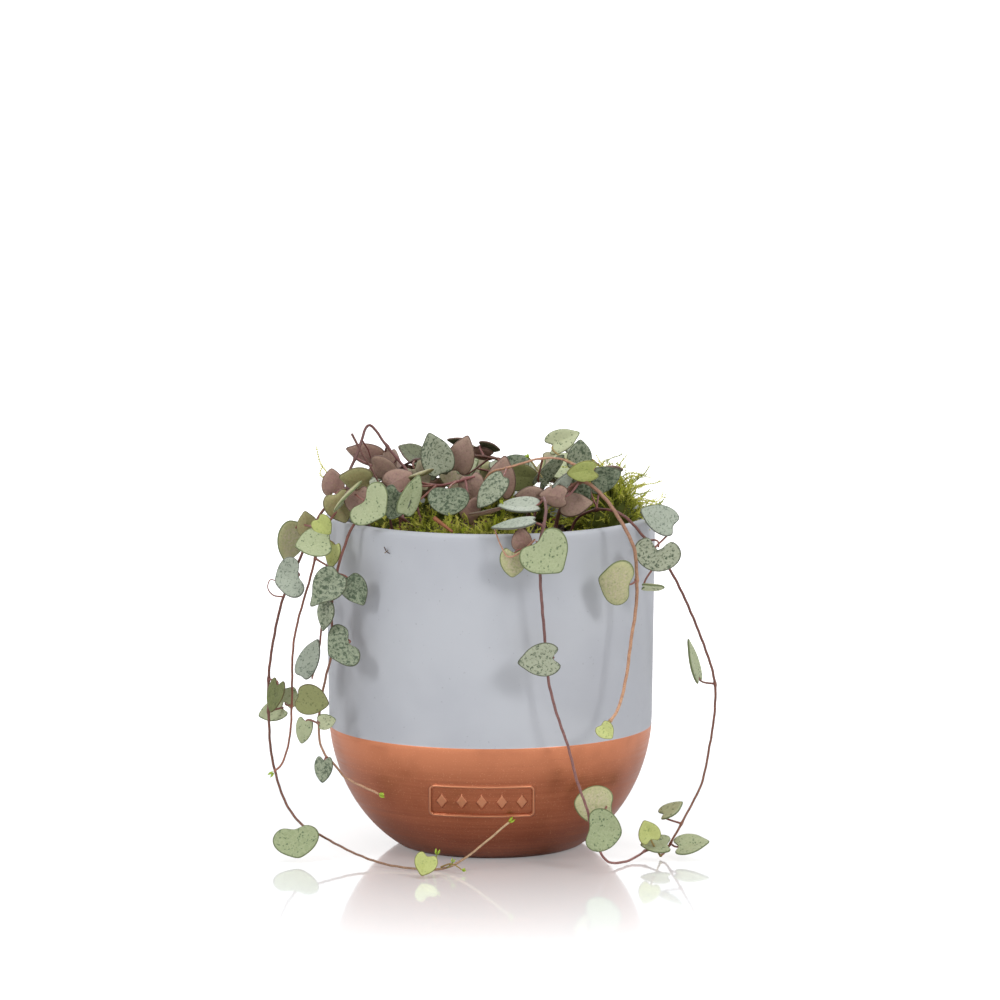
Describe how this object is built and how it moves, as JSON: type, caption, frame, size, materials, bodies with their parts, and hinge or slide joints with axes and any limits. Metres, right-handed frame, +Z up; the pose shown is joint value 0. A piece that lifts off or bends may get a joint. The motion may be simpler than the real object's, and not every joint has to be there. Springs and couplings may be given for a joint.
{
  "type": "potted string of hearts",
  "caption": "Trailing succulent with heart-shaped leaves on thin vines that spill over a round-bottomed pot, which is painted grey above a copper base and stands on a flat foot",
  "frame": {"origin": "centre of the pot's flat foot, on the surface that it stands on", "axes": "+Z up along the pot's axis, -Y towards the front with the plaque and the longest vines, +X to the right of the front view"},
  "size_m": [0.1786, 0.158, 0.1663],
  "materials": {
    "grey_paint": "matte",
    "copper_paint": "satin",
    "potting_soil": "matte",
    "moss": "matte",
    "stem": "satin",
    "leaf_mottled": "satin",
    "leaf_pale": "satin",
    "leaf_lime": "satin",
    "leaf_plum": "satin"
  },
  "bodies": {
    "root": {"pot": "grey_paint", "potting_soil": "potting_soil", "moss_right": "moss", "moss_front": "moss", "moss_back": "moss", "vine_left_outer": "stem", "leaf_shield": "leaf_pale", "leaf_peanut": "leaf_pale", "leaf_fold": "leaf_mottled", "leaf_light": "leaf_pale", "leaf_floor_heart": "leaf_pale", "leaf_floor_bright": "leaf_lime", "vine_left_middle": "stem", "leaf_saddle": "leaf_pale", "leaf_grey": "leaf_mottled", "vine_left_inner": "stem", "leaf_dark": "leaf_mottled", "leaf_slim": "leaf_mottled", "leaf_bronze_pair": "leaf_mottled", "leaf_green": "leaf_pale", "leaf_low": "leaf_mottled", "vine_left_short": "stem", "leaf_silver": "leaf_mottled", "vine_front": "stem", "leaf_crown_flat": "leaf_mottled", "leaf_rim_edge": "leaf_mottled", "leaf_rim_beige": "leaf_pale", "leaf_front_heart": "leaf_pale", "leaf_middle_heart": "leaf_mottled", "leaf_low_beige": "leaf_pale", "leaf_low_kidney": "leaf_pale", "vine_right_pink": "stem", "leaf_crown_bark": "leaf_plum", "leaf_right_beige": "leaf_pale", "vine_right_outer": "stem", "leaf_right_silver": "leaf_mottled", "leaf_right_kidney": "leaf_mottled", "leaf_right_narrow": "leaf_pale", "leaf_floor_right": "leaf_pale", "vine_crown_arch": "stem", "leaf_crown_pink": "leaf_plum", "leaf_crown_plum": "leaf_plum", "leaf_crown_olive": "leaf_plum", "leaf_crown_oval": "leaf_plum", "leaf_crown_kidney": "leaf_pale", "leaf_crown_grey": "leaf_mottled", "leaf_crown_point": "leaf_pale", "leaf_crown_round": "leaf_mottled", "vine_crown_middle": "stem", "leaf_crown_peanut": "leaf_mottled", "leaf_crown_purple": "leaf_plum", "vine_crown_pale": "stem", "leaf_crown_silver": "leaf_mottled", "leaf_crown_brown": "leaf_plum", "leaf_crown_blade": "leaf_mottled", "leaf_crown_lime": "leaf_lime", "leaf_crown_light": "leaf_pale", "vine_back_left": "stem", "vine_back_middle": "stem", "vine_back_right": "stem"}
  },
  "joints": []
}
